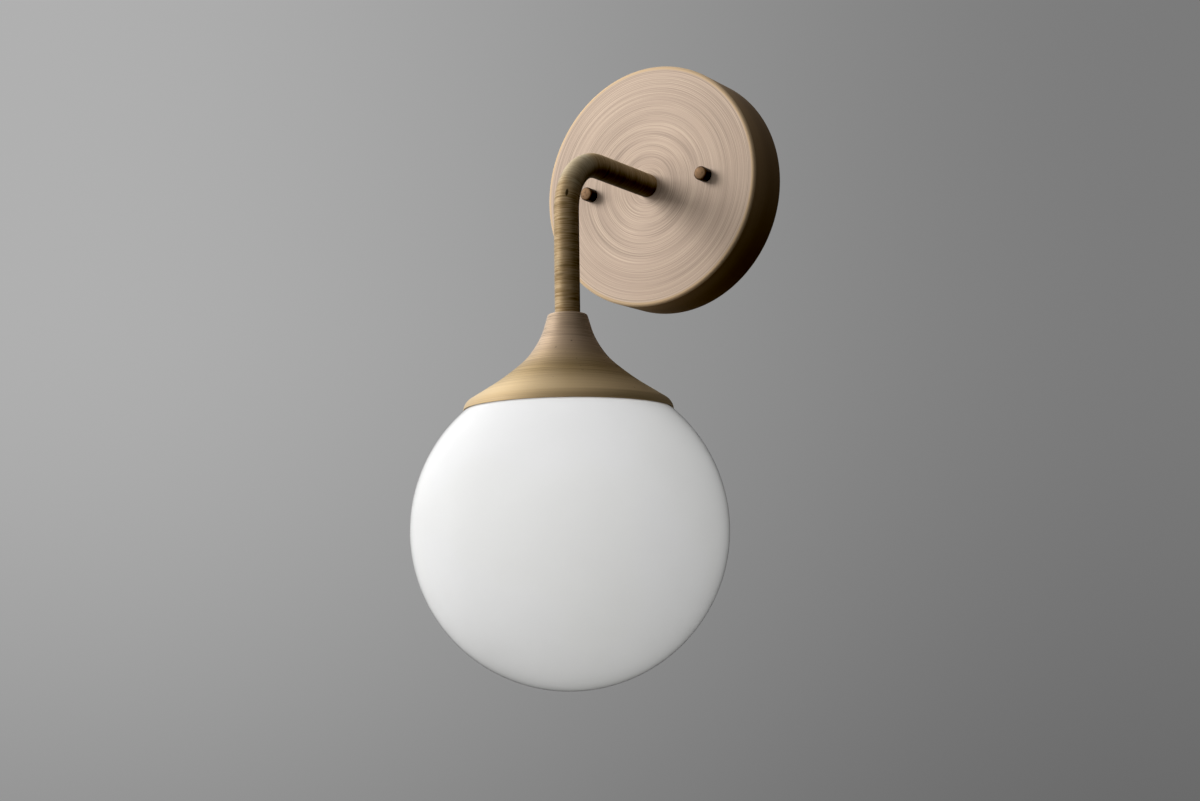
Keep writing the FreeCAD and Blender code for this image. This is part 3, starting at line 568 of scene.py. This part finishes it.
def makeArm(d):
    corner = d["reach"] - d["bend"]
    bpy.ops.object.select_all(action="DESELECT")
    bpy.ops.mesh.primitive_circle_add(
        vertices=d["sides"], radius=d["radius"], fill_type="NOTHING",
        location=(0, -d["start"], 0), rotation=(math.pi / 2, 0, 0))
    arm = startPiece("bentArm")
    bpy.ops.mesh.select_all(action="SELECT")
    bpy.ops.mesh.extrude_region_move(
        TRANSFORM_OT_translate={"value": (0, d["start"] - corner, 0)})
    bpy.ops.mesh.spin(
        steps=d["bendSteps"], angle=-math.pi / 2, center=(0, -corner, -d["bend"]), axis=(1, 0, 0))
    bpy.ops.mesh.extrude_region_move(
        TRANSFORM_OT_translate={"value": (0, 0, d["bend"] - d["end"])})
    bpy.ops.mesh.select_all(action="SELECT")
    bpy.ops.mesh.remove_doubles(threshold=samePoint)
    bpy.ops.mesh.normals_make_consistent(inside=False)
    bpy.ops.object.mode_set(mode="OBJECT")
    useModifier(arm, "SOLIDIFY", thickness=d["wall"], offset=-1.0, use_even_offset=True)
    straighten(arm, d)
    endPiece(arm, "fixture", finishes["tube"], "arm_tube")


makeArm(bentArm)


# flared holder

flaredHolder = {
    "bore": 0.00515, "wall": 0.001, "rimHeight": 0.05639, "rimLift": 0.0009,
    "rimRound": 0.0003, "rimSteps": 3, "sides": 160,
    # radius, height above the globe's centre, rounding radius, steps in the rounding
    "corners": [
        (0.0094, 0.1028, 0.0013, 5),
        (0.0143, 0.0862, 0.0350, 14),
        (0.0289, 0.0729, 0.1080, 12),
        (0.0499, 0.0596, 0.0058, 8),
        (0.0499, 0.0530, 0, 0),  # cut off at the rim afterwards
    ],
}


def makeHolder(d):
    corners = [(r, globeZ + h, rounding, steps) for r, h, rounding, steps in d["corners"]]
    outline = [(d["bore"], corners[0][1])] + [corner[:2] for corner in corners]
    bpy.ops.object.select_all(action="DESELECT")
    bpy.ops.mesh.primitive_circle_add(
        vertices=d["sides"], radius=d["bore"], fill_type="NOTHING",
        location=(0, dropY, outline[0][1]))
    holder = startPiece("flaredHolder")
    bpy.ops.mesh.select_all(action="SELECT")
    for (lastRadius, lastHeight), (radius, height) in zip(outline, outline[1:]):
        bpy.ops.mesh.extrude_region_move(
            TRANSFORM_OT_translate={"value": (0, 0, height - lastHeight)})
        grow = radius / lastRadius
        bpy.ops.transform.resize(value=(grow, grow, 1), center_override=(0, dropY, height))
    bpy.ops.mesh.select_all(action="SELECT")
    bpy.ops.mesh.normals_make_consistent(inside=False)

    for i, (radius, height, rounding, steps) in enumerate(corners):
        if not steps:
            continue
        before = Vector(outline[i + 1]) - Vector(outline[i])
        after = Vector(outline[i + 2]) - Vector(outline[i + 1])
        offset = rounding * math.tan(before.angle(after) / 2)
        pick(holder, "EDGE", ringEdges(radius, height))
        bpy.ops.mesh.bevel(offset=offset, segments=steps, affect="EDGES")
    low = globeZ + d["rimHeight"]
    bpy.ops.mesh.select_all(action="SELECT")
    bpy.ops.mesh.bisect(plane_co=(0, dropY, low), plane_no=(0, 0, -1), clear_outer=True)
    bpy.ops.object.mode_set(mode="OBJECT")
    # the open sheet's faces must look outwards before it gets its thickness
    widest = max(holder.data.polygons, key=lambda f: math.hypot(f.center.x, f.center.y - dropY))
    if (widest.center - Vector((0, dropY, widest.center.z))).dot(widest.normal) < 0:
        holder.data.flip_normals()
    useModifier(holder, "SOLIDIFY", thickness=d["wall"], offset=-1.0, use_even_offset=True)
    # the inside of the rim stands a little higher, as a turned edge does
    rimRadius = corners[-1][0]
    middle = rimRadius - d["wall"] / 2
    bpy.ops.object.mode_set(mode="EDIT")
    pick(holder, "VERT", lambda v: (
        v.co.z < low + sameHeight and math.hypot(v.co.x, v.co.y - dropY) < middle))
    bpy.ops.transform.translate(value=(0, 0, d["rimLift"]))
    pick(holder, "EDGE", ringEdges(rimRadius, low))
    bpy.ops.mesh.bevel(offset=d["rimRound"], segments=d["rimSteps"], affect="EDGES")
    bpy.ops.object.mode_set(mode="OBJECT")
    endPiece(holder, "fixture", finishes["spun"], "holder")


makeHolder(flaredHolder)


# globe

opalGlobe = {
    "radius": 0.075, "wall": 0.0026, "lipHeight": 0.06216, "lipRound": 0.0012, "lipSteps": 5,
    "segments": 160, "rings": 104,
}


def makeGlobe(d):
    bpy.ops.object.select_all(action="DESELECT")
    bpy.ops.mesh.primitive_uv_sphere_add(
        segments=d["segments"], ring_count=d["rings"], radius=d["radius"],
        location=(0, dropY, globeZ))
    globe = startPiece("opalGlobe")
    bpy.ops.mesh.select_all(action="SELECT")
    bpy.ops.mesh.bisect(
        plane_co=(0, dropY, globeZ + d["lipHeight"]), plane_no=(0, 0, 1), clear_outer=True)
    bpy.ops.object.mode_set(mode="OBJECT")
    useModifier(globe, "SOLIDIFY", thickness=d["wall"], offset=-1.0, use_even_offset=True)
    bpy.ops.object.mode_set(mode="EDIT")
    inside = (d["radius"] - d["wall"]) / d["radius"]
    outerLip = math.sqrt(d["radius"] ** 2 - d["lipHeight"] ** 2)
    for scale in (1.0, inside):
        pick(globe, "EDGE", ringEdges(outerLip * scale, globeZ + d["lipHeight"] * scale))
        bpy.ops.mesh.bevel(offset=d["lipRound"], segments=d["lipSteps"], affect="EDGES")
    bpy.ops.object.mode_set(mode="OBJECT")
    endPiece(globe, "globe", finishes["opal"], "glass_globe", sharpest=50)


makeGlobe(opalGlobe)


# cap nuts

capNut = {
    "radius": 0.0036, "back": 0.02705, "front": 0.0328, "bore": 0.0021, "boreEnd": 0.0316,
    "edgeRound": 0.0008, "edgeSteps": 4, "spacing": 0.070, "sides": 64,
}


def makeCapNuts(d):
    bpy.ops.object.select_all(action="DESELECT")
    bpy.ops.mesh.primitive_cylinder_add(
        vertices=d["sides"], radius=d["radius"], depth=d["front"] - d["back"],
        location=(-d["spacing"] / 2, -(d["front"] + d["back"]) / 2, 0),
        rotation=(math.pi / 2, 0, 0))
    left = startPiece("capNutLeft")
    pick(left, "FACE", lambda f: f.normal.y > 0.9)
    bpy.ops.mesh.inset(thickness=d["radius"] - d["bore"])
    bpy.ops.mesh.extrude_region_move(
        TRANSFORM_OT_translate={"value": (0, d["back"] - d["boreEnd"], 0)})
    pick(left, "EDGE", lambda e: all(v.co.y < sameHeight - d["front"] for v in e.verts))
    bpy.ops.mesh.bevel(offset=d["edgeRound"], segments=d["edgeSteps"], affect="EDGES")
    bpy.ops.object.mode_set(mode="OBJECT")

    bpy.ops.object.duplicate()
    right = bpy.context.object
    right.name = "capNutRight"
    right.data.name = "capNutRight"
    bpy.ops.transform.translate(value=(d["spacing"], 0, 0))
    bpy.ops.object.transform_apply(location=True, rotation=True, scale=True)
    endPiece(left, "nut_left", finishes["nut"], "cap_nut_left")
    endPiece(right, "nut_right", finishes["nut"], "cap_nut_right")


makeCapNuts(capNut)


# wires

wires = {
    "insulated": 0.0010, "bare": 0.0009, "roundness": 5, "steps": 8,
    # the neutral wire's points, from the connector through the arm to the terminal; the live wire
    # mirrors them
    "pairRoute": [
        (0.013, -0.010, -0.031), (0.007, -0.0095, -0.026), (0.0013, -0.0058, -0.012),
        (0.0013, -0.0048, 0), (0.0013, -0.016, 0), (0.0013, -0.045, 0), (0.0013, dropY, 0),
        (0.0013, dropY, -0.056), (0.0013, dropY, -0.112), (0.0013, dropY, -0.1204),
        (0.00805, dropY, -0.1204),
    ],
    "groundRoute": [
        (0.017, -0.0032, 0.00465), (0.017, -0.0042, 0.016), (0.012, -0.009, 0.027),
        (0.002, -0.012, 0.032),
    ],
}


def makeWire(name, node, route, radius, finish, d):
    bpy.ops.object.select_all(action="DESELECT")
    bpy.ops.curve.primitive_nurbs_path_add(location=(0, 0, 0))
    wire = bpy.context.object
    wire.name = name
    line = wire.data
    line.splines.clear()
    spline = line.splines.new("NURBS")
    spline.points.add(len(route) - 1)
    for point, place in zip(spline.points, route):
        point.co = (*place, 1.0)
    spline.order_u = 3
    spline.use_endpoint_u = True
    spline.resolution_u = d["steps"]
    line.bevel_depth = radius
    line.bevel_resolution = d["roundness"]
    line.use_fill_caps = True
    bpy.ops.object.convert(target="MESH")
    wire.data.name = name
    bpy.ops.object.mode_set(mode="EDIT")
    bpy.ops.mesh.select_all(action="SELECT")
    bpy.ops.mesh.remove_doubles(threshold=samePoint)
    bpy.ops.mesh.normals_make_consistent(inside=False)
    bpy.ops.object.mode_set(mode="OBJECT")
    endPiece(wire, "fixture", finishes[finish], node)


for side, name, colour in ((-1, "live", "black"), (1, "neutral", "white")):
    route = [(side * x, y, z) for x, y, z in wires["pairRoute"]]
    makeWire(name + "Wire", name + "_lead", route, wires["insulated"],
             colour + "Wire", wires)
makeWire("groundWire", "ground_lead", wires["groundRoute"], wires["bare"],
         "copper", wires)


# floor, light and camera

studio = {
    "floorHeight": -1.1, "floorSize": 7.0, "floorColour": "#c9c9c7",
    "keyPower": 10.0, "keySize": 0.72, "keyPlace": (-0.956, -1.016, 0.60),
    "keyAim": (0, -0.06, -0.05),
    "blackLevel": 0.006,  # keeps the deepest shadows black
    # the grey behind the lamp goes from left to right, and darker downwards
    "greyLeft": "#b1b1b1", "greyRight": "#7c7c7c", "greyLow": "#404040", "lowStrength": 0.6,
    "greyAcross": (0.831, 0.556, 0), "greySpan": (-0.35, 0.35), "lowSpan": (0.2, -0.35),
    # soft glows: towards where, where each starts and is full, and how bright it is
    "brassGlows": [
        ((-1, -0.1, 0.2), 0.5, 1.0, 1.35),        # bright side on the left
        ((-0.6, 0.1, 0.8), 0.6, 1.0, 1.0),        # and above it
        ((-0.7, -0.7, -0.25), 0.5, 1.0, 0.45),
        ((0.4, -0.85, 0.3), 0.4, 1.0, 0.36),      # dim light from behind the camera
        ((0, 0, 1), 0.4, 1.0, 0.25),
        ((0.45, 0.85, 0.25), 0.75, 1.0, 0.13),    # shade behind the lamp
        ((0, -0.4, -1), 0.2, 1.0, 0.06),          # and below it
    ],
    "glassGlows": [
        ((0, 0, 1), -1.0, -0.99, 0.44),           # even light from all round
        ((0, -1, 0), 0.0, 1.0, 0.56),
        ((-0.62, -0.62, 0.48), 0.0, 1.0, 0.40),
    ],
}


def makeStage(d):
    bpy.ops.object.select_all(action="DESELECT")
    bpy.ops.mesh.primitive_plane_add(size=d["floorSize"], location=(0, 0, d["floorHeight"]))
    floor = bpy.context.object
    floor.name = "floor"
    paint = newMaterial("paleFloor", 0.0, 0.8, Base_Color=linear(d["floorColour"]))[0]
    floor.data.materials.append(paint)
    floor.visible_glossy = False  # the brass mirrors the glows alone


def addGlows(tree, direction, glows):
    level = 0.0
    for towards, start, full, strength in glows:
        facing = addNode(tree, "VectorMath", {"operation": "DOT_PRODUCT"}, {
            0: direction, 1: Vector(towards).normalized()}).outputs["Value"]
        glow = addNode(tree, "MapRange", {"interpolation_type": "SMOOTHSTEP"}, {
            "Value": facing, "From Min": start, "From Max": full, "To Max": strength}).outputs[0]
        level = addNode(tree, "Math", {"operation": "ADD"}, {0: level, 1: glow}).outputs[0]
    return level


def makeLights(d):
    key = bpy.data.lights.new("keySoftbox", "AREA")
    key.shape = "SQUARE"
    key.size = d["keySize"]
    key.energy = d["keyPower"]
    keyObject = bpy.data.objects.new("keySoftbox", key)
    bpy.context.scene.collection.objects.link(keyObject)
    aim = Vector(d["keyAim"]) - Vector(d["keyPlace"])
    turn = aim.to_track_quat("-Z", "Y").to_matrix().to_4x4()
    keyObject.matrix_world = Matrix.Translation(d["keyPlace"]) @ turn
    # the glass is lit by the glows alone, so no hard square shows in its gloss
    unlit = bpy.data.collections.new("litByGlowsAlone")
    unlit.objects.link(bpy.data.objects["opalGlobe"])
    unlit.collection_objects[0].light_linking.link_state = "EXCLUDE"
    keyObject.light_linking.receiver_collection = unlit

    # gloss mirrors the brassGlows, matt surfaces are lit by the glassGlows, the camera sees grey
    world = bpy.data.worlds.new("studioGlows")
    bpy.context.scene.world = world
    world.use_nodes = True
    world.cycles.sampling_method = "NONE"
    tree = world.node_tree
    direction = addNode(tree, "TexCoord").outputs["Generated"]
    mirrored = addGlows(tree, direction, d["brassGlows"])
    diffused = addGlows(tree, direction, d["glassGlows"])
    path = addNode(tree, "LightPath")
    glows = addNode(tree, "Mix", {"data_type": "FLOAT"}, {
        "Factor": path.outputs["Is Diffuse Ray"], 2: mirrored, 3: diffused}).outputs[0]
    sideways = addNode(tree, "VectorMath", {"operation": "DOT_PRODUCT"}, {
        0: direction, 1: d["greyAcross"]}).outputs["Value"]
    upwards = addNode(tree, "SeparateXYZ", None, {0: direction}).outputs["Z"]
    grey = layTones(tree, linear(d["greyLeft"]), [
        (sideways, *d["greySpan"], 1.0, d["greyRight"]),
        (upwards, *d["lowSpan"], d["lowStrength"], d["greyLow"]),
    ])
    shown = addNode(tree, "Mix", {"data_type": "RGBA"}, {
        "Factor": path.outputs["Is Camera Ray"], 6: glows, 7: grey}).outputs[2]
    tree.links.new(shown, tree.nodes["Background"].inputs["Color"])

    view = bpy.context.scene.view_settings
    view.view_transform = "Standard"
    view.use_curve_mapping = True
    view.curve_mapping.black_level = [d["blackLevel"]] * 3
    view.curve_mapping.update()


# looks up and to the left from the lower right, as the photograph does; angles in degrees, and
# lens and sensor in millimetres
photoCamera = {
    "place": (0.4492, -0.7454, -0.2220), "yaw": 33.79, "pitch": 7.37, "roll": -0.81,
    "lens": 50, "sensor": 36,
}


def makeCamera(d):
    yaw, pitch, roll = (math.radians(d[angle]) for angle in ("yaw", "pitch", "roll"))
    ahead = Vector((
        -math.sin(yaw) * math.cos(pitch), math.cos(yaw) * math.cos(pitch), math.sin(pitch)))
    right = Vector((math.cos(yaw), math.sin(yaw), 0))
    up = right.cross(ahead)
    rolledRight = right * math.cos(roll) + up * math.sin(roll)
    rolledUp = up * math.cos(roll) - right * math.sin(roll)
    camera = bpy.data.cameras.new("camera")
    camera.sensor_width = d["sensor"]
    camera.lens = d["lens"]
    cameraObject = bpy.data.objects.new("camera", camera)
    bpy.context.scene.collection.objects.link(cameraObject)
    turn = Matrix((rolledRight, rolledUp, -ahead)).transposed().to_4x4()
    cameraObject.matrix_world = Matrix.Translation(d["place"]) @ turn
    bpy.context.scene.camera = cameraObject


makeStage(studio)
makeLights(studio)
makeCamera(photoCamera)
print("lit the stage and set the camera")
